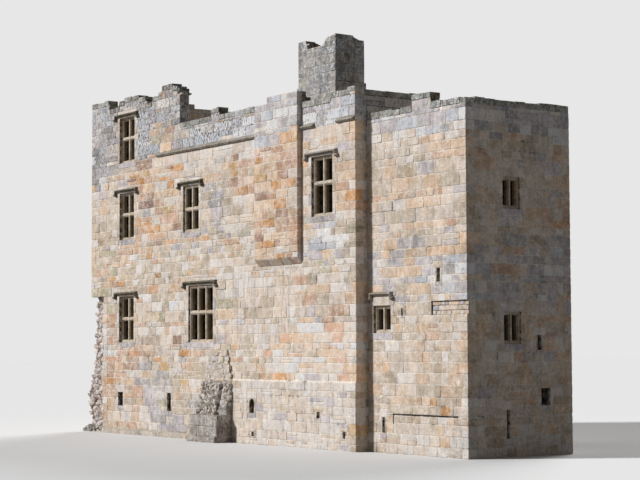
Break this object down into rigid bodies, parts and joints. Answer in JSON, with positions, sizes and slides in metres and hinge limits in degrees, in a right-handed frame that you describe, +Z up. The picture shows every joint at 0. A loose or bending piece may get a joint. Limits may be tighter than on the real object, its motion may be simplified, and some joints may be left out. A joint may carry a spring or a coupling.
{
  "type": "ruined castle keep",
  "caption": "Ruined stone tower house with a raised end tower, a lower wing, mullioned windows under hood moulds, a broken parapet and a chimney stack.",
  "frame": {"origin": "on the ground, under the middle of the bounding box", "axes": "+X to the right along the front wall as seen from outside, +Y from the front to the back, +Z up"},
  "size_m": [23.51, 9.46, 13.5],
  "materials": {
    "wall_stone": "weathered squared sandstone",
    "dressed_stone": "dressed sandstone, chamfered",
    "moulded_stone": "moulded sandstone with dark lichen",
    "rubble": "rough rubble in crumbled mortar",
    "deck_paving": "worn flagstones",
    "boards": "old oak boards and joists"
  },
  "bodies": {
    "root": {"front_wall_basement": "wall_stone", "front_wall_first_storey": "wall_stone", "front_wall_second_storey": "wall_stone", "tower_front_wall": "wall_stone", "tower_back_wall": "wall_stone", "tower_left_wall": "wall_stone", "tower_right_wall": "wall_stone", "front_parapet": "wall_stone", "rear_parapet": "wall_stone", "chimney_breast": "wall_stone", "chimney_stack": "wall_stone", "string_course": "moulded_stone", "front_plinth": "moulded_stone", "pier_stump": "wall_stone", "pier_rubble": "rubble", "torn_corner": "rubble", "torn_footing": "rubble", "left_wall_lower": "wall_stone", "left_wall_upper": "wall_stone", "back_wall_basement": "wall_stone", "back_wall_first_storey": "wall_stone", "back_wall_second_storey": "wall_stone", "right_wall_lower": "wall_stone", "right_wall_upper": "wall_stone", "wing_front_wall_lower": "wall_stone", "wing_front_wall_upper": "wall_stone", "wing_side_wall_lower": "wall_stone", "wing_side_wall_upper": "wall_stone", "wing_back_wall_lower": "wall_stone", "wing_back_wall_upper": "wall_stone", "wing_parapet": "wall_stone", "first_floor_boards": "boards", "first_floor_joists": "boards", "second_floor_boards": "boards", "second_floor_joists": "boards", "roof_deck": "deck_paving", "tower_window_frames": "dressed_stone", "second_storey_window_frames": "dressed_stone", "first_storey_window_frames": "dressed_stone", "back_first_window_frames": "dressed_stone", "back_second_window_frames": "dressed_stone", "left_window_frames": "dressed_stone", "wing_window_frames": "dressed_stone", "front_hood_moulds": "moulded_stone", "rear_hood_moulds": "moulded_stone"}
  },
  "joints": []
}
